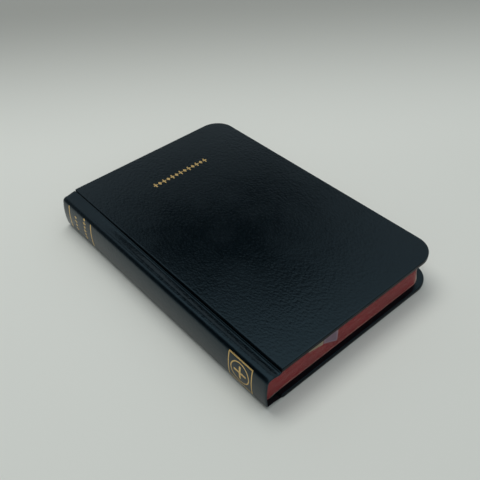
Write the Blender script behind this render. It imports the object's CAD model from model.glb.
"""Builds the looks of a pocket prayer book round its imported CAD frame.

Cloth covers, joints, spine, pages, endpapers and ribbons take the place of the plain parts of the frame; the
boards, linings, thread and gold tooling keep the shapes of the frame and get their finishes here.
"""

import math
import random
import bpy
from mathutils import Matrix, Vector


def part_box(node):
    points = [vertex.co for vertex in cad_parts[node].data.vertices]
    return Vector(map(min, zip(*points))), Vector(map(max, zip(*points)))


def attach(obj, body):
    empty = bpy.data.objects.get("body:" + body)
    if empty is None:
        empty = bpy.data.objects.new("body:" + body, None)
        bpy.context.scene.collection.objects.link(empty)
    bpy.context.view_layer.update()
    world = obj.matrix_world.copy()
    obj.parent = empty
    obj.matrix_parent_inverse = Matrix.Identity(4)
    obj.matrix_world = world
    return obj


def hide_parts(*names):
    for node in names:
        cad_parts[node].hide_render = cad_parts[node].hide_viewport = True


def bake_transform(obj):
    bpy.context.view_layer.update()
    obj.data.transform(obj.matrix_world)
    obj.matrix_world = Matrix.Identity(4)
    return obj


bl_info = {
    "name": "Prayer Book",
    "version": (1, 0, 0),
    "blender": (4, 5, 0),
    "location": "3D View > Sidebar > Prayer Book",
    "description": "Cloth-bound prayer book with turning covers and leaves, red edges and ribbons",
    "category": "Object",
}

from types import SimpleNamespace

import bmesh
import bpy
from mathutils import Matrix, Vector

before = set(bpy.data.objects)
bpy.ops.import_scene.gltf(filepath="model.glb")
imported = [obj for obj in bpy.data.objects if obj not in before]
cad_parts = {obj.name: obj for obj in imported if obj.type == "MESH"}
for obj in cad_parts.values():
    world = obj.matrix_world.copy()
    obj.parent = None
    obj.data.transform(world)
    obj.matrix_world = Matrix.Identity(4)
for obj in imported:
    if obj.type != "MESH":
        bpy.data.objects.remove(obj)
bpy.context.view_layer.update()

MM = 0.001
SECTIONS = [name for name in sorted(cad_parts) if name.startswith("section_")]
FRONT_LEAVES = ["front_flyleaf"] + sorted(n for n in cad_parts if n.startswith("front_leaf_"))
BACK_LEAVES = ["back_flyleaf"] + sorted(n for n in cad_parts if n.startswith("back_leaf_"))


def take_measures():
    """The lines the book is laid out on, in metres, read from the boxes of the frame."""
    cloth_low, cloth_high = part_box("front_cloth")
    board_low, board_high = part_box("front_board")
    spine_low, spine_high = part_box("spine_cloth")
    fly_low, fly_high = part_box("front_flyleaf")
    stub_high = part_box(SECTIONS[0])[1]
    middle = SECTIONS[len(SECTIONS) // 2 - 1]
    cloth = cloth_high.z - board_high.z
    mid = cloth_high.z / 2
    top = fly_high.z - 0.05 * MM
    return SimpleNamespace(
        thick=cloth_high.z, mid=mid, half=cloth_high.y,
        fore=cloth_high.x, board=board_low.x - cloth, joint=cloth_low.x,
        turn_in=board_low.z - cloth, paste=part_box("front_pastedown")[0].z,
        back=spine_low.x, spine_half=(spine_high.z - spine_low.z) / 2,
        page_half=fly_high.y, page=fly_high.x, gutter=fly_low.x,
        block_top=top, block_half=top - mid, swell=stub_high.z - top,
        hollow=fly_high.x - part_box(middle)[1].x,
        under=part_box(BACK_LEAVES[-1])[1].z + 0.05 * MM,
    )


BOOK = take_measures()


# ---- Properties ----


class ClothProperties(bpy.types.PropertyGroup):
    """Sizes and colours of the cloth on the covers and spine."""

    colour: bpy.props.FloatVectorProperty(
        name="Cloth", description="Colour of the leathercloth",
        default=(0.001, 0.003, 0.0046), size=3, min=0, max=1, subtype="COLOR")
    rubbed: bpy.props.FloatVectorProperty(
        name="Rubbed cloth", description="Colour of the cloth where it is rubbed at the edges",
        default=(0.009, 0.0135, 0.017), size=3, min=0, max=1, subtype="COLOR")
    grain: bpy.props.FloatProperty(
        name="Grain", description="Width of one pebble of the grain",
        default=1.5 * MM, min=0.0002, max=0.004, subtype="DISTANCE", unit="LENGTH")
    grain_depth: bpy.props.FloatProperty(
        name="Grain depth", description="Height of the pebbles",
        default=0.045 * MM, min=0, max=0.0005, subtype="DISTANCE", unit="LENGTH")
    roughness: bpy.props.FloatProperty(
        name="Roughness", description="How matt the cloth is", default=0.15, min=0, max=1, subtype="FACTOR")
    board_corner: bpy.props.FloatProperty(
        name="Corner", description="Radius of the rounded corners of the covers",
        default=13.5 * MM, min=0, max=0.03, subtype="DISTANCE", unit="LENGTH")
    board_arris: bpy.props.FloatProperty(
        name="Board edge", description="Rounding of the cloth over the edges of the boards",
        default=0.5 * MM, min=0.0001, max=0.001, subtype="DISTANCE", unit="LENGTH")
    rolled: bpy.props.FloatProperty(
        name="Rolled edge", description="Thickness of the folded cloth at the head and tail of the spine",
        default=0.56 * MM, min=0.0003, max=0.0012, subtype="DISTANCE", unit="LENGTH")
    shoulder: bpy.props.FloatProperty(
        name="Shoulder", description="Radius of the spine where it turns into the front joint",
        default=3.2 * MM, min=0.001, max=0.004, subtype="DISTANCE", unit="LENGTH")
    foot: bpy.props.FloatProperty(
        name="Foot", description="Radius of the spine where it turns into the back joint",
        default=1.1 * MM, min=0.0006, max=0.003, subtype="DISTANCE", unit="LENGTH")
    round: bpy.props.FloatProperty(
        name="Round", description="Radius of the back of the spine",
        default=48 * MM, min=0.03, max=0.2, subtype="DISTANCE", unit="LENGTH")
    droop: bpy.props.FloatProperty(
        name="Droop", description="How far below the middle the spine is fullest",
        default=2.45 * MM, min=0, max=0.005, subtype="DISTANCE", unit="LENGTH")


class PageProperties(bpy.types.PropertyGroup):
    """Sizes and colours of the pages and endpapers."""

    paper: bpy.props.FloatVectorProperty(
        name="Paper", description="Colour of the pages",
        default=(0.78, 0.72, 0.6), size=3, min=0, max=1, subtype="COLOR")
    endpaper: bpy.props.FloatVectorProperty(
        name="Endpaper", description="Colour of the endpapers",
        default=(0.8, 0.75, 0.64), size=3, min=0, max=1, subtype="COLOR")
    stain: bpy.props.FloatVectorProperty(
        name="Edge stain", description="Colour of the stained edges of the pages",
        default=(0.27, 0.026, 0.034), size=3, min=0, max=1, subtype="COLOR")
    corner: bpy.props.FloatProperty(
        name="Page corner", description="Radius of the page corners at the fore-edge",
        default=11.5 * MM, min=0, max=0.02, subtype="DISTANCE", unit="LENGTH")
    leaf: bpy.props.FloatProperty(
        name="Leaf", description="Thickness of one leaf as it is drawn",
        default=0.145 * MM, min=0.00005, max=0.0002, subtype="DISTANCE", unit="LENGTH")
    uneven: bpy.props.FloatProperty(
        name="Unevenness", description="How far one leaf may stand back from the next at the trimmed edges",
        default=0.035 * MM, min=0, max=0.0002, subtype="DISTANCE", unit="LENGTH")
    bend: bpy.props.FloatProperty(
        name="Bend", description="Distance from the gutter over which a turned leaf bends",
        default=16 * MM, min=0.002, max=0.05, subtype="DISTANCE", unit="LENGTH")


class TrimProperties(bpy.types.PropertyGroup):
    """Colours and sizes of the ribbons and the gold."""

    gold_ribbon: bpy.props.FloatVectorProperty(
        name="First ribbon", description="Colour of the yellow ribbon",
        default=(0.23, 0.195, 0.1), size=3, min=0, max=1, subtype="COLOR")
    lilac_ribbon: bpy.props.FloatVectorProperty(
        name="Second ribbon", description="Colour of the mauve ribbon",
        default=(0.13, 0.068, 0.11), size=3, min=0, max=1, subtype="COLOR")
    ribbon_thick: bpy.props.FloatProperty(
        name="Ribbon thickness", description="Thickness of the satin",
        default=0.16 * MM, min=0.00005, max=0.0003, subtype="DISTANCE", unit="LENGTH")
    foil: bpy.props.FloatVectorProperty(
        name="Foil", description="Colour of the blocked foil",
        default=(0.72, 0.5, 0.2), size=3, min=0, max=1, subtype="COLOR")
    foil_wear: bpy.props.FloatProperty(
        name="Foil wear", description="Share of the foil that is worn through",
        default=0.22, min=0, max=1, subtype="FACTOR")


class StageProperties(bpy.types.PropertyGroup):
    """Where the camera stands, and the floor and lights."""

    azimuth: bpy.props.FloatProperty(
        name="Azimuth", description="Direction the camera looks in, from the way the spine runs",
        default=math.radians(38.437), subtype="ANGLE", unit="ROTATION")
    elevation: bpy.props.FloatProperty(
        name="Elevation", description="How steeply the camera looks down",
        default=math.radians(41.918), subtype="ANGLE", unit="ROTATION")
    roll: bpy.props.FloatProperty(
        name="Roll", description="Tilt of the camera about its own axis",
        default=math.radians(-3.539), subtype="ANGLE", unit="ROTATION")
    distance: bpy.props.FloatProperty(
        name="Distance", description="Distance from the camera to its target",
        default=0.406908, min=0.1, max=5, subtype="DISTANCE", unit="LENGTH")
    target: bpy.props.FloatVectorProperty(
        name="Target", description="Place on the floor that the camera looks at",
        default=(0.006706, 0.006654, 0), size=3, subtype="TRANSLATION", unit="LENGTH")
    lens: bpy.props.FloatProperty(
        name="Lens", description="Focal length in millimetres", default=49.245, min=10, max=200)
    floor: bpy.props.FloatVectorProperty(
        name="Floor", description="Colour of the floor near the book",
        default=(0.705, 0.712, 0.668), size=3, min=0, max=1, subtype="COLOR")
    floor_far: bpy.props.FloatVectorProperty(
        name="Far floor", description="Colour of the floor behind the book",
        default=(0.33, 0.333, 0.31), size=3, min=0, max=1, subtype="COLOR")
    key_power: bpy.props.FloatProperty(
        name="Key light", description="Power of the large soft light, in watts", default=4.3, min=0, max=500)
    dome: bpy.props.FloatProperty(
        name="Dome", description="Brightness of the soft light all round", default=0.46, min=0, max=5)


# ---- Mesh helpers ----


def make_piece(name, points, faces, finishes, face_finish=None, crease=38):
    """A smooth mesh object with its finishes in order; edges sharper than crease degrees stay hard."""
    mesh = bpy.data.meshes.new(name)
    mesh.from_pydata([tuple(p) for p in points], [], faces)
    mesh.update()
    for material in finishes:
        mesh.materials.append(material)
    if face_finish:
        mesh.polygons.foreach_set("material_index", face_finish)
    mesh.polygons.foreach_set("use_smooth", [True] * len(mesh.polygons))
    mesh.set_sharp_from_angle(angle=math.radians(crease))
    piece = bpy.data.objects.new(name, mesh)
    bpy.context.scene.collection.objects.link(piece)
    return piece


def face_outwards(piece):
    """Turns every face of a closed piece to the outside."""
    shape = bmesh.new()
    shape.from_mesh(piece.data)
    bmesh.ops.recalc_face_normals(shape, faces=shape.faces)
    shape.to_mesh(piece.data)
    shape.free()


def bridge(rings, closed=True):
    """Quads between each ring of points and the next; every ring has the same number of points."""
    faces = []
    count = len(rings[0])
    last = count if closed else count - 1
    for row in range(len(rings) - 1):
        for i in range(last):
            j = (i + 1) % count
            faces.append((row * count + i, row * count + j, (row + 1) * count + j, (row + 1) * count + i))
    return faces


def smooth(value):
    """An even rise from 0 to 1."""
    value = min(1.0, max(0.0, value))
    return value * value * (3 - 2 * value)


def bump_at(value, centre, width):
    """A soft hump of height 1."""
    return math.exp(-((value - centre) / width) ** 2)


def arc(centre, radius, start, end, steps):
    """Points on an arc, angles in degrees."""
    return [
        (centre[0] + radius * math.cos(math.radians(start + (end - start) * k / steps)),
         centre[1] + radius * math.sin(math.radians(start + (end - start) * k / steps)))
        for k in range(steps + 1)
    ]


def mark_wear(piece, wear):
    """Stores on each point how rubbed it is, from 0 to 1."""
    layer = piece.data.attributes.new("rubbed", "FLOAT", "POINT")
    layer.data.foreach_set("value", wear)


# ---- Finishes ----


class Nodes:
    """A node tree while it is put together, and the place in space that its patterns are laid out by."""

    def __init__(self, tree, coordinates):
        self.tree = tree
        self.tree.nodes.clear()
        self.place = self.add("ShaderNodeTexCoord").outputs[coordinates]

    def add(self, kind, settings=None, **inputs):
        """A node with its settings and its inputs, each a value or another node's output."""
        node = self.tree.nodes.new(kind)
        for key, value in (settings or {}).items():
            setattr(node, key, value)
        for key, value in inputs.items():
            self.feed(node.inputs[key.replace("_", " ")], value)
        return node

    def feed(self, socket, value):
        """Sets a socket to a value, or links it."""
        if isinstance(value, bpy.types.NodeSocket):
            self.tree.links.new(value, socket)
        elif socket.type == "RGBA":
            socket.default_value = (*value[:3], 1)
        else:
            socket.default_value = value

    def noise(self, size, detail=3.0, roughness=0.5, where=None):
        """Noise whose lumps are about size metres across, from 0 to 1."""
        return self.add("ShaderNodeTexNoise", Vector=where or self.place, Scale=1 / size, Detail=detail,
                        Roughness=roughness).outputs["Fac"]

    def maths(self, operation, a, b=0.0, c=0.0):
        """The result of a sum on numbers."""
        node = self.add("ShaderNodeMath", {"operation": operation})
        for socket, value in zip(node.inputs, (a, b, c)):
            self.feed(socket, value)
        return node.outputs[0]

    def spread(self, value, low, high, to_low=0.0, to_high=1.0):
        """A number between low and high, carried to another range with soft ends."""
        node = self.add("ShaderNodeMapRange", {"interpolation_type": "SMOOTHSTEP"})
        for key, number in (("Value", value), ("From Min", low), ("From Max", high),
                            ("To Min", to_low), ("To Max", to_high)):
            self.feed(node.inputs[key], number)
        return node.outputs[0]

    def mix(self, share, a, b):
        """Colour a where share is 0, b where it is 1."""
        node = self.add("ShaderNodeMix", {"data_type": "RGBA"})
        self.feed(node.inputs[0], share)
        self.feed(node.inputs[6], a)
        self.feed(node.inputs[7], b)
        return node.outputs[2]

    def raised(self, height, depth, strength=1.0, over=None):
        """A bump of that depth in metres, on top of another."""
        node = self.add("ShaderNodeBump", Height=height, Distance=depth, Strength=strength)
        if over is not None:
            self.feed(node.inputs["Normal"], over)
        return node.outputs[0]

    def stretched(self, x, y, z):
        """The place on the object with each axis multiplied."""
        return self.add("ShaderNodeMapping", Vector=self.place, Scale=(x, y, z)).outputs[0]

    def along(self, direction):
        """How far the place lies along a direction."""
        node = self.add("ShaderNodeVectorMath", {"operation": "DOT_PRODUCT"})
        self.feed(node.inputs[0], self.place)
        self.feed(node.inputs[1], direction)
        return node.outputs["Value"]

    def bands(self, direction, scale, **inputs):
        """Even bands as wide as the scale gives, from 0 to 1."""
        return self.add("ShaderNodeTexWave", {"bands_direction": direction}, Vector=self.place, Scale=scale,
                        **inputs).outputs["Fac"]

    def rubbed(self):
        """How rubbed the surface is here, as mark_wear stored it."""
        return self.add("ShaderNodeAttribute", {"attribute_name": "rubbed"}).outputs["Fac"]


class Recipe(Nodes):
    """One procedural finish while its nodes are put together."""

    def __init__(self, name):
        self.material = bpy.data.materials.new(name)
        self.material.use_nodes = True
        super().__init__(self.material.node_tree, "Object")

    def done(self, **inputs):
        """Ends the finish in one principled shader."""
        shader = self.add("ShaderNodeBsdfPrincipled")
        for key, value in inputs.items():
            self.feed(shader.inputs[key.replace("_", " ")], value)
        output = self.add("ShaderNodeOutputMaterial")
        self.tree.links.new(shader.outputs[0], output.inputs[0])
        return self.material


def cloth_grain(recipe, look):
    """Height of the pebbled grain: pebbles drawn out into short wrinkles, with fine creases between them."""
    warp = recipe.add("ShaderNodeTexNoise", Vector=recipe.place, Scale=0.3 / look.grain,
                      Detail=3.0).outputs["Color"]
    moved = recipe.add("ShaderNodeVectorMath", {"operation": "MULTIPLY_ADD"})
    recipe.feed(moved.inputs[0], warp)
    recipe.feed(moved.inputs[1], (look.grain * 1.6,) * 3)
    recipe.feed(moved.inputs[2], recipe.place)
    drawn = recipe.add("ShaderNodeVectorMath", {"operation": "MULTIPLY"})
    recipe.feed(drawn.inputs[0], moved.outputs[0])
    recipe.feed(drawn.inputs[1], (1.25, 0.8, 1.0))
    pebbles = recipe.add("ShaderNodeTexVoronoi", {"feature": "SMOOTH_F1"}, Vector=drawn.outputs[0],
                         Scale=1 / look.grain, Smoothness=0.5).outputs["Distance"]
    fine = recipe.noise(look.grain * 0.4, 3.0, 0.6)
    return recipe.maths("MULTIPLY_ADD", fine, 0.5, recipe.maths("MULTIPLY", pebbles, -1.0))


def leathercloth(look, name="leathercloth", shine=0.5):
    """Black pebbled leathercloth with a cool sheen, rubbed paler at its edges."""
    recipe = Recipe(name)
    grain = cloth_grain(recipe, look)
    patches = recipe.noise(14 * MM, 4.0, 0.55)
    rubbed = recipe.spread(recipe.rubbed(), 0.0, 1.0)
    worn = recipe.maths("MULTIPLY", rubbed, recipe.spread(patches, 0.3, 0.72))
    base = recipe.mix(recipe.spread(grain, -0.5, 0.15), [c * 0.6 for c in look.colour], look.colour)
    dusty = recipe.mix(recipe.maths("MULTIPLY", recipe.noise(3 * MM, 5.0), 0.12), base, look.rubbed)
    colour = recipe.mix(worn, dusty, look.rubbed)
    gloss = recipe.spread(recipe.noise(35 * MM, 3.0), 0.3, 0.7, look.roughness - 0.03, look.roughness + 0.05)
    waves = recipe.raised(recipe.noise(50 * MM, 1.0), 0.04 * MM)
    normal = recipe.raised(grain, look.grain_depth, 1.0, waves)
    return recipe.done(Base_Color=colour, Roughness=gloss, Normal=normal, IOR=1.43, Specular_IOR_Level=shine,
                       Specular_Tint=(0.5, 0.82, 1.0))


def page_edge(pages):
    """Red stain on the trimmed edges, with the lines of the leaves and a little paper showing."""
    recipe = Recipe("stained_edge")
    lines = recipe.noise(1.0, 2.0, 0.6, recipe.stretched(25, 25, 9000))
    blotches = recipe.noise(9 * MM, 4.0, 0.6)
    deep = [c * 0.78 for c in pages.stain]
    pale = [c * 0.9 + p * 0.012 for c, p in zip(pages.stain, pages.paper)]
    colour = recipe.mix(recipe.spread(blotches, 0.3, 0.75), deep, pages.stain)
    colour = recipe.mix(recipe.spread(lines, 0.5, 0.85, 0.0, 0.5), colour, pale)
    normal = recipe.raised(lines, 0.03 * MM, 0.7)
    gloss = recipe.spread(blotches, 0.2, 0.8, 0.5, 0.64)
    return recipe.done(Base_Color=colour, Roughness=gloss, Normal=normal, IOR=1.22)


def paper(name, colour, fibre=0.35 * MM):
    """Uncoated paper with short fibres and slight toning."""
    recipe = Recipe(name)
    fibres = recipe.noise(fibre, 6.0, 0.7)
    toning = recipe.noise(60 * MM, 2.0)
    darker = [colour[0] * 0.93, colour[1] * 0.88, colour[2] * 0.78]
    mixed = recipe.mix(recipe.spread(toning, 0.35, 0.8, 0.0, 0.6), colour, darker)
    mixed = recipe.mix(recipe.spread(fibres, 0.45, 0.8, 0.0, 0.25), mixed, darker)
    return recipe.done(Base_Color=mixed, Roughness=recipe.spread(fibres, 0.2, 0.8, 0.75, 0.9),
                       Normal=recipe.raised(fibres, 0.012 * MM), IOR=1.45)


def satin(name, colour):
    """Satin ribbon: fine cross threads, a soft sheen and paler woven edges."""
    recipe = Recipe(name)
    threads = recipe.bands("DIAGONAL", 900.0, Distortion=1.5, Detail=1.0)
    pale = [min(1, c * 1.25 + 0.12) for c in colour]
    body = recipe.mix(recipe.spread(threads, 0.2, 0.9, 0.0, 0.3), colour, pale)
    mixed = recipe.mix(recipe.rubbed(), body, pale)
    return recipe.done(Base_Color=mixed, Roughness=0.38, Sheen_Weight=0.35, Sheen_Roughness=0.3,
                       Normal=recipe.raised(threads, 0.01 * MM), IOR=1.5)


def blocked_foil(trim, look):
    """Gold foil pressed into the cloth, worn through on the tops of the grain."""
    recipe = Recipe("gold_foil")
    grain = cloth_grain(recipe, look)
    speck = recipe.noise(0.35 * MM, 5.0, 0.65)
    worn = recipe.spread(recipe.maths("MULTIPLY_ADD", grain, 0.25, speck), 0.5, 0.62, 0.0, trim.foil_wear * 2)
    tone = recipe.mix(recipe.noise(2 * MM, 3.0), trim.foil, [c * 1.15 for c in trim.foil])
    colour = recipe.mix(worn, tone, look.colour)
    metal = recipe.maths("SUBTRACT", 0.85, recipe.maths("MULTIPLY", worn, 0.85))
    return recipe.done(Base_Color=colour, Metallic=metal, Roughness=recipe.spread(speck, 0.3, 0.7, 0.34, 0.5),
                       Normal=recipe.raised(grain, look.grain_depth * 0.5))


def fibre_board(name, colour, speck=0.6 * MM):
    """Grey or brown board pressed from mixed fibres."""
    recipe = Recipe(name)
    flecks = recipe.noise(speck, 6.0, 0.7)
    cloudy = recipe.noise(12 * MM, 3.0)
    mixed = recipe.mix(recipe.spread(cloudy, 0.3, 0.7), colour, [c * 0.82 for c in colour])
    mixed = recipe.mix(recipe.spread(flecks, 0.52, 0.7, 0.0, 0.5), mixed, [c * 0.5 for c in colour])
    return recipe.done(Base_Color=mixed, Roughness=0.88, Normal=recipe.raised(flecks, 0.04 * MM))


def woven(name, colour, pitch):
    """Open cotton weave with glue in its gaps."""
    recipe = Recipe(name)
    scale = 0.314 / pitch
    weave = recipe.maths("MAXIMUM", recipe.bands("Y", scale), recipe.bands("X", scale))
    mixed = recipe.mix(recipe.spread(weave, 0.3, 0.9), [c * 0.6 for c in colour], colour)
    mixed = recipe.mix(recipe.maths("MULTIPLY", recipe.noise(4 * MM), 0.3), mixed, [c * 0.75 for c in colour])
    return recipe.done(Base_Color=mixed, Roughness=0.85, Normal=recipe.raised(weave, 0.1 * MM))


def linen_thread(colour):
    """Waxed thread with its twist."""
    recipe = Recipe("linen_thread")
    twist = recipe.bands("DIAGONAL", 700.0, Distortion=2.0)
    mixed = recipe.mix(twist, [c * 0.7 for c in colour], colour)
    return recipe.done(Base_Color=mixed, Roughness=0.5, Normal=recipe.raised(twist, 0.04 * MM))


MADE = {}


def finish(name):
    """A finish by its name, made the first time it is asked for."""
    if name in MADE:
        return MADE[name]
    scene = bpy.context.scene
    cloth, pages, trim = scene.prayer_cloth, scene.prayer_pages, scene.prayer_trim
    makers = {
        "leathercloth": lambda: leathercloth(cloth),
        "cloth_edge": lambda: leathercloth(cloth, "cloth_edge", 0.1),
        "stained_edge": lambda: page_edge(pages),
        "page_paper": lambda: paper("page_paper", pages.paper),
        "endpaper": lambda: paper("endpaper", pages.endpaper, 0.5 * MM),
        "satin_gold": lambda: satin("satin_gold", trim.gold_ribbon),
        "satin_lilac": lambda: satin("satin_lilac", trim.lilac_ribbon),
        "gold_foil": lambda: blocked_foil(trim, cloth),
        "greyboard": lambda: fibre_board("greyboard", (0.4, 0.37, 0.32)),
        "brown_card": lambda: fibre_board("brown_card", (0.42, 0.32, 0.2), 0.4 * MM),
        "mull_weave": lambda: woven("mull_weave", (0.78, 0.75, 0.66), 0.9 * MM),
        "linen_thread": lambda: linen_thread((0.8, 0.77, 0.68)),
    }
    MADE[name] = makers[name]()
    return MADE[name]


# ---- Covers ----

SPINE_CORNER = 0.9 * MM
COVER_INSETS = [d * MM for d in (54, 40, 28, 18, 10, 5, 2, 1.1)]
RUBBED_BAND = 0.9 * MM
CORNER_REACH = 14 * MM
DRAWN_IN = 0.45 * MM
DRAWN_LENGTH = 2.2 * MM
TURNED_OVER = 4 * MM
BACK_GROOVE = 0.25


def plan(inset, corner):
    """Outline of a cover seen from above, drawn in by inset, with that corner radius at the fore-edge."""
    points = []
    corners = [(BOOK.fore, -1, -90, 0, corner), (BOOK.fore, 1, 0, 90, corner),
               (BOOK.board, 1, 90, 180, SPINE_CORNER), (BOOK.board, -1, 180, 270, SPINE_CORNER)]
    for x, side, start, end, radius in corners:
        keep = max(radius, inset)
        towards = -1 if x == BOOK.fore else 1
        centre = (x + towards * keep, side * (BOOK.half - keep))
        points += arc(centre, max(radius - inset, 1e-6), start, end, 14)
    return points


def edge_profile(top, low, arris, steps=6):
    """Inset and height round the edge of a covered board, from its upper face to its lower one."""
    turns = [math.pi / 2 * k / steps for k in range(steps + 1)]
    upper = [(arris * (1 - math.sin(t)), top - arris * (1 - math.cos(t))) for t in turns]
    lower = [(arris * (1 - math.cos(t)), low + arris * (1 - math.sin(t))) for t in turns]
    return upper + lower


def cover_skin(name, body, cloth_node, look, flip):
    """Cloth drawn over one board, with its folded edges and the turned-in cloth inside."""
    top = BOOK.thick - 0.02 * MM
    profile = [(inset, top) for inset in COVER_INSETS]
    profile += edge_profile(top, BOOK.turn_in, look.board_arris)
    profile += [(inset, BOOK.turn_in) for inset in reversed(COVER_INSETS)]
    points, wear = [], []
    for inset, height in profile:
        z = BOOK.thick - height if flip else height
        edge = max(0.0, 1 - inset / RUBBED_BAND) if top - 1.2 * MM < height else 0.0
        for x, y in plan(inset, look.board_corner):
            points.append((x, y, z))
            from_corner = (max(0, x - BOOK.fore + CORNER_REACH), max(0, abs(y) - BOOK.half + CORNER_REACH))
            near_corner = min(1.0, math.hypot(*from_corner) / (18 * MM))
            wear.append(edge * (0.1 + 0.9 * near_corner))
    count = len(points) // len(profile)
    faces = bridge([points[i:i + count] for i in range(0, len(points), count)])
    faces += [tuple(range(count)), tuple(range(len(points) - count, len(points)))]
    paint = []
    for (inset, _), (after, below) in zip(profile, profile[1:]):
        matt = max(inset, after) < 0.3 * MM and below < top - 0.25 * MM
        paint += [1 if matt else 0] * count
    paint += [0, 0]
    piece = make_piece(name, points, faces, [finish("leathercloth"), finish("cloth_edge")], paint, crease=30)
    face_outwards(piece)
    mark_wear(piece, wear)
    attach(piece, body)
    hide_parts(cloth_node)
    return piece


def strip_stations(half):
    """Places along a strip from tail to head, each with the half thickness left where its ends roll round."""
    turns = [math.radians(80) * k / 5 for k in range(6)]
    tail = [(half * (1 - math.sin(t)), half * math.cos(t)) for t in reversed(turns)]
    tail += [(d * MM, half) for d in (0.6, 0.9, 1.3, 1.7, 2.2, 3, 4)]
    stations = [(d - BOOK.half, keep) for d, keep in tail]
    stations += [(BOOK.half * 2 * k / 24 - BOOK.half, half) for k in range(1, 24)]
    stations += [(BOOK.half - d, keep) for d, keep in reversed(tail)]
    return stations


def sweep_strip(name, path, thickness, finishes, flip=False, lining=0, groove=None):
    """Folded cloth along the spine's length, its ends rolled round and drawn in a little.

    The path is in X and Z, with the thickness inside it. The inner face takes the finish numbered by lining.
    A strip with a groove, "front" or "back", has it pressed as deeply as groove_depth says.
    """
    count = len(path)
    total = 2 * count
    normals = []
    for i in range(count):
        before, after = path[max(0, i - 1)], path[min(count - 1, i + 1)]
        run = Vector((after[0] - before[0], after[1] - before[1])).normalized()
        normals.append(Vector((run.y, -run.x)))
    half = thickness / 2
    stations = strip_stations(half)
    rings = []
    for y, keep in stations:
        near_end = max(0.0, 1 - (BOOK.half - abs(y)) / DRAWN_LENGTH)
        sink = 0.02 * MM + DRAWN_IN * (1 - math.sqrt(1 - min(1.0, near_end) ** 2))
        section = path
        if groove:
            section = [(x, filled_height(x, z, groove_depth(groove, y))) for x, z in path]
        outer = [Vector(p) - n * (half - keep + sink) for p, n in zip(section, normals)]
        inner = [Vector(p) - n * (half + keep + sink) for p, n in zip(section, normals)]
        rings.append([(p.x, y, BOOK.thick - p.y if flip else p.y) for p in outer + inner[::-1]])
    faces = bridge(rings)
    paint = []
    for (y, _), (after_y, _) in zip(stations, stations[1:]):
        lined = abs(y) < BOOK.half - TURNED_OVER > abs(after_y)
        paint += [lining if count <= i < total - 1 and lined else 0 for i in range(total)]
    for start in (0, (len(rings) - 1) * total):
        for i in range(count - 1):
            faces.append((start + i, start + i + 1, start + total - 2 - i, start + total - 1 - i))
            paint.append(0)
    piece = make_piece(name, [p for ring in rings for p in ring], faces, finishes, paint)
    face_outwards(piece)
    return piece


def spine_path(look):
    """Section of the spine, from the front shoulder line round the back to the other shoulder line."""
    centre = (BOOK.back + look.round, BOOK.mid - look.droop)
    ends = []
    for radius, side in ((look.shoulder, 1), (look.foot, -1)):
        z = BOOK.mid + side * (BOOK.spine_half - radius)
        run = math.sqrt((look.round - radius) ** 2 - (z - centre[1]) ** 2)
        ends.append((centre[0] - run, z, radius, math.degrees(math.atan2(z - centre[1], -run)) % 360))
    (top_x, top_z, top_r, top_turn), (low_x, low_z, low_r, low_turn) = ends
    path = [(seam_x() - (seam_x() - top_x) * k / 4, BOOK.mid + BOOK.spine_half) for k in range(4)]
    path += arc((top_x, top_z), top_r, 90, top_turn, 16)
    path += arc(centre, look.round, top_turn, low_turn, 40)[1:]
    path += arc((low_x, low_z), low_r, low_turn, 270, 12)[1:]
    path += [(low_x + (seam_x() - low_x) * k / 4, BOOK.mid - BOOK.spine_half) for k in range(1, 5)]
    return path


def seam_x():
    """Place on the shoulder where the joint cloth runs into the spine cloth."""
    return BOOK.joint - 1.1 * MM


def joint_height(x):
    """Top of the joint cloth: a pressed ridge beside the board, the groove, the slope to the shoulder."""
    run = BOOK.board - x
    floor = BOOK.paste + 0.3 * MM
    crest = BOOK.mid + BOOK.spine_half
    slope = smooth((run - 1.5 * MM) / (BOOK.board - BOOK.joint - 1.3 * MM))
    return floor + (crest - floor) * slope + 0.45 * MM * bump_at(run, 0.5 * MM, 0.62 * MM)


def filled_height(x, z, depth):
    """The same height where the groove is pressed less deep."""
    run = BOOK.board - x
    crest = BOOK.mid + BOOK.spine_half
    level = BOOK.thick - 0.25 * MM
    shallow = level - (level - crest) * smooth(run / (BOOK.board - seam_x()))
    return z + (shallow - z) * (1 - depth) * smooth((run + 0.1 * MM) / (0.4 * MM))


def groove_depth(side, y):
    """How deeply a groove is pressed: the front one less and less towards the head, the back one lightly."""
    if side == "back":
        return BACK_GROOVE
    return 1 - 0.8 * smooth((y + 20 * MM) / (105 * MM))


def wear_along(piece, share):
    """Rubs a strip along its raised lines and most at the head and tail."""
    wear = []
    for vertex in piece.data.vertices:
        end = smooth((abs(vertex.co.y) - BOOK.half + 5 * MM) / (5 * MM))
        wear.append(share * (0.15 + 0.85 * end))
    mark_wear(piece, wear)


class PRAYERBOOK_OT_covers(bpy.types.Operator):
    """Covers both boards with cloth"""

    bl_idname = "prayerbook.covers"
    bl_label = "Covers"

    def execute(self, context):
        look = context.scene.prayer_cloth
        cover_skin("front_cover_skin", "front_cover", "front_cloth", look, False)
        cover_skin("back_cover_skin", "back_cover", "back_cloth", look, True)
        return {"FINISHED"}


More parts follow.
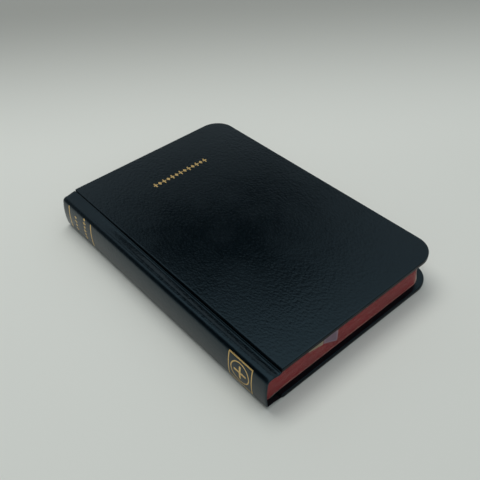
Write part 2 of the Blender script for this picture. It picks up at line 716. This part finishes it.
class PRAYERBOOK_OT_joints(bpy.types.Operator):
    """Lays the cloth of both joints from the boards over to the shoulders of the spine"""

    bl_idname = "prayerbook.joints"
    bl_label = "Joints"

    def execute(self, context):
        look = context.scene.prayer_cloth
        steps = 46
        start, end = BOOK.board + 0.3 * MM, seam_x()
        places = [start + (end - start) * k / steps for k in range(steps + 1)]
        path = [(x, joint_height(x)) for x in places]
        finishes = [finish("leathercloth"), finish("endpaper")]
        for side, flip in (("front", False), ("back", True)):
            name = side + "_joint_cloth"
            strip = sweep_strip(name, path, look.rolled, finishes, flip, lining=1, groove=side)
            wear_along(strip, 0.7)
            if flip:
                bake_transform(strip)
            else:
                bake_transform(strip)
            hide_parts(side + "_cloth")
        return {"FINISHED"}


class PRAYERBOOK_OT_spine(bpy.types.Operator):
    """Wraps the rounded spine in cloth, folded in at head and tail"""

    bl_idname = "prayerbook.spine"
    bl_label = "Spine"

    def execute(self, context):
        look = context.scene.prayer_cloth
        spine = sweep_strip("spine_cover", spine_path(look), look.rolled, [finish("leathercloth")])
        wear_along(spine, 0.8)
        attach(spine, "text_block")
        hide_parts("spine_cloth")
        return {"FINISHED"}


# ---- Pages ----

TURNING_LEAF = 0.188 * MM


def swelling(x):
    """How much the pages have swelled at a place across them, from 0 at the gutter to 1 at the folds."""
    return smooth((BOOK.board - 1.5 * MM - x) / (5 * MM))


def lifted(z, x):
    """Height of a layer of the block at a place across it."""
    return z + BOOK.swell * swelling(x) * (z - BOOK.mid) / BOOK.block_half


def drawn_in(z):
    """How far the fore-edge stands back at a height."""
    return BOOK.hollow * (1 - min(1.0, ((z - BOOK.mid) / BOOK.block_half) ** 2))


def page_columns(start, end, corner, to_fore_edge):
    """Places across a leaf with half its length at each, from the spine side to the other."""
    if not to_fore_edge:
        return [(start + (end - start) * k / 8, BOOK.page_half) for k in range(9)]
    near = [start + (BOOK.gutter - start) * k / 8 for k in range(8)]
    flat = [BOOK.gutter + (end - corner - BOOK.gutter) * k / 8 for k in range(9)]
    columns = [(x, BOOK.page_half) for x in near + flat]
    for k in range(1, 11):
        turn = math.pi / 2 * k / 10
        columns.append((end - corner * (1 - math.sin(turn)), BOOK.page_half - corner * (1 - math.cos(turn))))
    return columns


def add_leaf(points, faces, paint, columns, low, high, trim):
    """One leaf between two heights, set back by trim: its two faces are paper, its trimmed edges stained."""
    first = len(points)
    count = len(columns)
    for height in (low, high):
        for side in (-1, 1):
            for x, half in columns:
                inset = drawn_in((low + high) / 2) * smooth((x - BOOK.page + 30 * MM) / (20 * MM))
                at = x - inset - trim * (x > BOOK.gutter)
                points.append((at, side * (half - trim), lifted(height, x)))
    for layer in (0, 1):
        base = first + layer * 2 * count
        for i in range(count - 1):
            face = (base + i, base + i + 1, base + count + i + 1, base + count + i)
            faces.append(face if layer else face[::-1])
            paint.append(0)
    for side in (0, 1):
        base = first + side * count
        for i in range(count - 1):
            face = (base + i, base + i + 1, base + 2 * count + i + 1, base + 2 * count + i)
            faces.append(face[::-1] if side else face)
            paint.append(1)
    for column in (0, count - 1):
        face = tuple(first + column + k * count for k in (0, 1, 3, 2))
        faces.append(face if column else face[::-1])
        paint.append(1 if column else 0)


def build_section(index, node, pages, dice):
    """One sewn section as a stack of leaves folded round at the spine."""
    pitch = 2 * BOOK.block_half / len(SECTIONS)
    top = BOOK.block_top - index * pitch
    low = top - pitch
    fold_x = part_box(node)[0].x
    radius = pitch / 2
    leaves = max(2, round(pitch / pages.leaf))
    points, faces, paint = [], [], []
    stub_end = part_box(SECTIONS[0])[1].x
    for k in range(leaves):
        upper = top - pitch * k / leaves
        lower = top - pitch * (k + 1) / leaves + 0.004 * MM
        off = ((upper + lower) / 2 - (top + low) / 2) / radius
        start = fold_x + radius * (1 - math.sqrt(max(0.0, 1 - off * off)))
        whole = index > 0 and lower > BOOK.under - 0.02 * MM
        end = BOOK.page if whole else stub_end
        columns = page_columns(start, end, pages.corner, whole)
        add_leaf(points, faces, paint, columns, lower, upper, dice.random() * pages.uneven)
    piece = make_piece("pages_" + node, points, faces, [finish("page_paper"), finish("stained_edge")], paint)
    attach(piece, "text_block")
    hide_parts(node)
    return piece


def build_turning_leaf(node, pages, dice, endpaper):
    """One leaf that turns, bent smoothly near the gutter."""
    low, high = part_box(node)
    centre = (low.z + high.z) / 2
    lower, upper = centre - TURNING_LEAF / 2, centre + TURNING_LEAF / 2
    bent = pages.bend + 2 * MM
    columns = [(BOOK.gutter - 0.1 * MM + bent * k / 18, BOOK.page_half) for k in range(19)]
    for x, half in page_columns(columns[-1][0], BOOK.page, pages.corner, True):
        if x > columns[-1][0] + 0.5 * MM:
            columns.append((x, half))
    points, faces, paint = [], [], []
    add_leaf(points, faces, paint, columns, lower, upper, dice.random() * pages.uneven)
    face_paper = finish("endpaper") if endpaper else finish("page_paper")
    piece = make_piece("sheet_" + node, points, faces, [face_paper, finish("stained_edge")], paint)
    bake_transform(piece)
    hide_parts(node)
    return piece


class PRAYERBOOK_OT_sections(bpy.types.Operator):
    """Builds the sewn sections leaf by leaf, with red edges"""

    bl_idname = "prayerbook.sections"
    bl_label = "Sections"

    def execute(self, context):
        dice = random.Random(7)
        for index, node in enumerate(SECTIONS):
            build_section(index, node, context.scene.prayer_pages, dice)
        return {"FINISHED"}


class PRAYERBOOK_OT_leaves(bpy.types.Operator):
    """Builds the flyleaves and the leaves that turn"""

    bl_idname = "prayerbook.leaves"
    bl_label = "Turning leaves"

    def execute(self, context):
        dice = random.Random(11)
        for node in FRONT_LEAVES + BACK_LEAVES:
            build_turning_leaf(node, context.scene.prayer_pages, dice, "flyleaf" in node)
        return {"FINISHED"}


class PRAYERBOOK_OT_endpapers(bpy.types.Operator):
    """Carries the endpapers over the shoulders of the block to the joints"""

    bl_idname = "prayerbook.endpapers"
    bl_label = "Endpapers"

    def execute(self, context):
        steps = 16
        start, end = BOOK.gutter + 0.1 * MM, BOOK.joint - 0.4 * MM
        for side in ("front", "back"):
            rings = []
            for k in range(steps + 1):
                x = start + (end - start) * k / steps
                height = lifted(BOOK.block_top, x)
                corners = [(-1, 0.02 * MM), (1, 0.02 * MM), (1, 0.1 * MM), (-1, 0.1 * MM)]
                ring = [(x, end_side * BOOK.page_half, height + lift) for end_side, lift in corners]
                if side == "back":
                    ring = [(x, y, BOOK.thick - z) for _, y, z in ring]
                rings.append(ring)
            faces = bridge(rings) + [(0, 1, 2, 3), tuple(range(4 * steps, 4 * steps + 4))]
            points = [p for ring in rings for p in ring]
            piece = make_piece(side + "_gutter_paper", points, faces, [finish("endpaper")])
            face_outwards(piece)
            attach(piece, "text_block")
        return {"FINISHED"}


# ---- Ribbons ----

RIBBON_WIDTH = 10 * MM
RIBBON_BEND = 6 * MM
HANG_STEPS = 8
RIBBONS = {
    "ribbon_gold": {"satin": "satin_gold", "head": 6.8 * MM, "tail": 25.3 * MM,
                    "drop": 4.8 * MM, "slant": 2 * MM},
    "ribbon_lilac": {"satin": "satin_lilac", "head": 17.1 * MM, "tail": 35.6 * MM,
                     "drop": 8.8 * MM, "slant": 5.6 * MM},
}


def ribbon_stations(node, head, tail, drop):
    """Middle and width direction of a ribbon, from the spine over the head, down the page and over the tail.

    The head and tail distances are from the spine side of the boards to the middle of the ribbon at each end.
    """
    low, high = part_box(node)
    head_x, tail_x = BOOK.board + head, BOOK.board + tail
    head_y, tail_y = high.y - 0.1 * MM, low.y + 0.1 * MM
    z = high.z - 0.1 * MM
    level = Vector((1, 0, 0))
    turn = Vector((head_x - RIBBON_BEND, head_y, z - 0.6 * MM))
    stations = [(Vector((low.x + 0.2 * MM, head_y, turn.z - RIBBON_BEND)), Vector((0, 0, -1)))]
    for k in range(9):
        t = math.radians(90 - 90 * k / 8)
        outward = Vector((math.cos(t), 0, -math.sin(t)))
        stations.append((turn + outward * RIBBON_BEND, outward))
    for k in range(17):
        share = k / 16
        y = (head_y - 0.5 * MM) + (tail_y - head_y + 1.0 * MM) * share
        stations.append((Vector((head_x + (tail_x - head_x) * share, y, z)), level))
    for k in range(1, HANG_STEPS + 1):
        out = 0.35 * MM * math.sin(math.pi * k / (HANG_STEPS + 1))
        stations.append((Vector((tail_x, tail_y - out, z - drop * k / HANG_STEPS)), level))
    return stations


def build_ribbon(node, trim, satin, head, tail, drop, slant):
    """One satin marker ribbon, its end cut at a slant."""
    stations = ribbon_stations(node, head, tail, drop)
    along = [centre for centre, _ in stations]
    last = len(stations) - 1
    rings, wear = [], []
    across = 9
    for i, (centre, side) in enumerate(stations):
        run = (along[min(last, i + 1)] - along[max(0, i - 1)]).normalized()
        side = (side - run * side.dot(run)).normalized()
        out = run.cross(side).normalized()
        top_row, low_row = [], []
        for j in range(across):
            u = j / (across - 1) - 0.5
            cut = Vector((0, 0, -slant * u * max(0.0, (i - last + HANG_STEPS) / HANG_STEPS)))
            wave = 0.05 * MM * math.sin(3.1 * u + i * 0.7) * (i > 2)
            at = centre + side * (u * RIBBON_WIDTH) + cut + out * wave
            top_row.append(at + out * trim.ribbon_thick / 2)
            low_row.append(at - out * trim.ribbon_thick / 2)
            wear.append(max(smooth((abs(u) - 0.42) / 0.06), 0.9 * (i == last)))
        rings.append(top_row + low_row[::-1])
        wear += wear[-across:][::-1]
    count = 2 * across
    faces = bridge(rings) + [tuple(range(count)), tuple(range(count * last, count * (last + 1)))]
    points = [p for ring in rings for p in ring]
    piece = make_piece("satin_" + node, points, faces, [finish(satin)], crease=60)
    face_outwards(piece)
    mark_wear(piece, wear)
    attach(piece, "text_block")
    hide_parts(node)
    return piece


class PRAYERBOOK_OT_ribbons(bpy.types.Operator):
    """Lays the two marker ribbons between the pages"""

    bl_idname = "prayerbook.ribbons"
    bl_label = "Ribbons"

    def execute(self, context):
        for node, sizes in RIBBONS.items():
            build_ribbon(node, context.scene.prayer_trim, **sizes)
        return {"FINISHED"}


# ---- Finishes on the frame's own parts ----


class PRAYERBOOK_OT_finishes(bpy.types.Operator):
    """Gives the gold tooling, boards, linings and thread their finishes"""

    bl_idname = "prayerbook.finishes"
    bl_label = "Frame finishes"

    def execute(self, context):
        wanted = {
            "gold_foil": ["title_foil", "spine_rules_foil", "spine_ornament_foil", "spine_emblem_foil"],
            "greyboard": ["front_board", "back_board"],
            "endpaper": ["front_pastedown", "back_pastedown"],
            "brown_card": ["spine_inlay", "spine_lining"],
            "mull_weave": ["spine_mull", "front_hinge_cloth", "back_hinge_cloth"],
            "linen_thread": ["sewing_thread"],
            "leathercloth": ["front_cloth", "back_cloth", "spine_cloth"],
            "page_paper": SECTIONS + FRONT_LEAVES[1:] + BACK_LEAVES[1:],
        }
        for name, nodes in wanted.items():
            for node in nodes:
                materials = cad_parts[node].data.materials
                materials.clear()
                materials.append(finish(name))
        return {"FINISHED"}


# ---- Stage ----

FLOOR_HALF = 4.0
DOME_COLOUR = (0.93, 1.0, 1.03)
DARK_PATCHES = [
    {"azimuth": 37, "height": 41.5, "width": 9, "rise": 5.5, "depth": 1.0},
    {"azimuth": -60, "height": 40, "width": 26, "rise": 26, "depth": 0.95},
]


def stage_floor(look):
    """A pale floor, darker far behind the book."""
    recipe = Recipe("studio_floor")
    back = recipe.spread(recipe.along((math.sin(look.azimuth), math.cos(look.azimuth), 0)), 0.1, 0.4)
    soft = recipe.noise(0.12, 2.0)
    near = recipe.mix(recipe.maths("MULTIPLY", soft, 0.12), look.floor, [c * 0.9 for c in look.floor])
    colour = recipe.mix(back, near, look.floor_far)
    material = recipe.done(Base_Color=colour, Roughness=0.7, IOR=1.3,
                           Normal=recipe.raised(recipe.noise(2 * MM, 4.0), 0.01 * MM))
    corners = [(x * FLOOR_HALF, y * FLOOR_HALF, 0) for x, y in ((-1, -1), (1, -1), (1, 1), (-1, 1))]
    make_piece("floor", corners, [(0, 1, 2, 3)], [material])


def soft_light(name, place, aim, size, power, colour):
    """A large soft light that is not seen itself."""
    lamp = bpy.data.lights.new(name, "AREA")
    lamp.shape = "RECTANGLE"
    lamp.size, lamp.size_y = size
    lamp.energy = power
    lamp.color = colour
    light = bpy.data.objects.new(name, lamp)
    bpy.context.scene.collection.objects.link(light)
    light.location = place
    light.rotation_mode = "QUATERNION"
    light.rotation_quaternion = (Vector(aim) - Vector(place)).to_track_quat("-Z", "Y")
    light.visible_camera = False
    light.visible_glossy = False


def dimmed(nodes, azimuth, height, width, rise, depth):
    """Share of light left where one dark patch lies; its direction and half sizes are in degrees."""
    a, e = math.radians(azimuth), math.radians(height)
    towards = Vector((math.sin(a) * math.cos(e), math.cos(a) * math.cos(e), math.sin(e)))
    sideways = Vector((math.cos(a), -math.sin(a), 0))
    across = nodes.along(sideways / math.sin(math.radians(width)))
    upwards = nodes.along(sideways.cross(towards) / math.sin(math.radians(rise)))
    total = nodes.maths("MULTIPLY_ADD", upwards, upwards, nodes.maths("MULTIPLY", across, across))
    patch = nodes.spread(total, 0.1, 2.6, depth, 0.0)
    facing = nodes.spread(nodes.along(towards), 0.0, 0.2)
    return nodes.maths("SUBTRACT", 1.0, nodes.maths("MULTIPLY", patch, facing))


def dome(look):
    """Soft light from all round, with the dark patches of the room that the cloth mirrors."""
    world = bpy.data.worlds.new("studio_dome")
    bpy.context.scene.world = world
    world.use_nodes = True
    nodes = Nodes(world.node_tree, "Generated")
    up = nodes.add("ShaderNodeSeparateXYZ", Vector=nodes.place).outputs["Z"]
    low = nodes.spread(up, 0.1, 0.5, 0.55 * look.dome, look.dome)
    level = nodes.maths("ADD", low, nodes.spread(up, 0.66, 0.84, 0.0, look.dome))
    for patch in DARK_PATCHES:
        level = nodes.maths("MULTIPLY", level, dimmed(nodes, **patch))
    background = nodes.add("ShaderNodeBackground", Color=DOME_COLOUR, Strength=level)
    output = nodes.add("ShaderNodeOutputWorld")
    nodes.tree.links.new(background.outputs[0], output.inputs[0])


def place_camera(look):
    """The camera at the viewing angle of the piece."""
    lens = bpy.data.cameras.new("camera")
    lens.lens = look.lens
    lens.sensor_width = 36
    lens.clip_start, lens.clip_end = 0.01, 50
    camera = bpy.data.objects.new("camera", lens)
    bpy.context.scene.collection.objects.link(camera)
    a, e = look.azimuth, look.elevation
    forward = Vector((math.sin(a) * math.cos(e), math.cos(a) * math.cos(e), -math.sin(e)))
    level = Vector((math.cos(a), -math.sin(a), 0))
    upright = level.cross(forward)
    right = level * math.cos(look.roll) + upright * math.sin(look.roll)
    up = upright * math.cos(look.roll) - level * math.sin(look.roll)
    turn = Matrix((right, up, -forward)).transposed().to_4x4()
    camera.matrix_world = Matrix.Translation(Vector(look.target) - forward * look.distance) @ turn
    bpy.context.scene.camera = camera


class PRAYERBOOK_OT_stage(bpy.types.Operator):
    """Sets the floor, the soft lights and the camera"""

    bl_idname = "prayerbook.stage"
    bl_label = "Stage"

    def execute(self, context):
        look = context.scene.prayer_stage
        stage_floor(look)
        dome(look)
        soft_light("key_light", place=(0.05, 0.36, 1.02), aim=(0, 0, 0), size=(0.8, 0.5),
                   power=look.key_power, colour=(1, 0.99, 0.96))
        place_camera(look)
        context.scene.view_settings.view_transform = "Standard"
        return {"FINISHED"}


# ---- Sidebar and start ----

STEPS = [PRAYERBOOK_OT_covers, PRAYERBOOK_OT_joints, PRAYERBOOK_OT_spine, PRAYERBOOK_OT_sections,
         PRAYERBOOK_OT_leaves, PRAYERBOOK_OT_endpapers, PRAYERBOOK_OT_ribbons, PRAYERBOOK_OT_finishes,
         PRAYERBOOK_OT_stage]
GROUPS = {"prayer_cloth": ClothProperties, "prayer_pages": PageProperties, "prayer_trim": TrimProperties,
          "prayer_stage": StageProperties}


class PRAYERBOOK_PT_sidebar(bpy.types.Panel):
    """The pieces of the prayer book and their sizes"""

    bl_label = "Prayer Book"
    bl_idname = "PRAYERBOOK_PT_sidebar"
    bl_space_type = "VIEW_3D"
    bl_region_type = "UI"
    bl_category = "Prayer Book"

    def draw(self, context):
        for step in STEPS:
            self.layout.operator(step.bl_idname)
        for key, group in GROUPS.items():
            box = self.layout.box()
            for name in group.__annotations__:
                box.prop(getattr(context.scene, key), name)


def register():
    for item in [*GROUPS.values(), *STEPS, PRAYERBOOK_PT_sidebar]:
        bpy.utils.register_class(item)
    for key, group in GROUPS.items():
        setattr(bpy.types.Scene, key, bpy.props.PointerProperty(type=group))


def unregister():
    for key in GROUPS:
        delattr(bpy.types.Scene, key)
    for item in reversed([*GROUPS.values(), *STEPS, PRAYERBOOK_PT_sidebar]):
        bpy.utils.unregister_class(item)


def main():
    """Builds everything in order."""
    register()
    for step in STEPS:
        family, action = step.bl_idname.split(".")
        getattr(getattr(bpy.ops, family), action)()


if __name__ == "__main__":
    main()
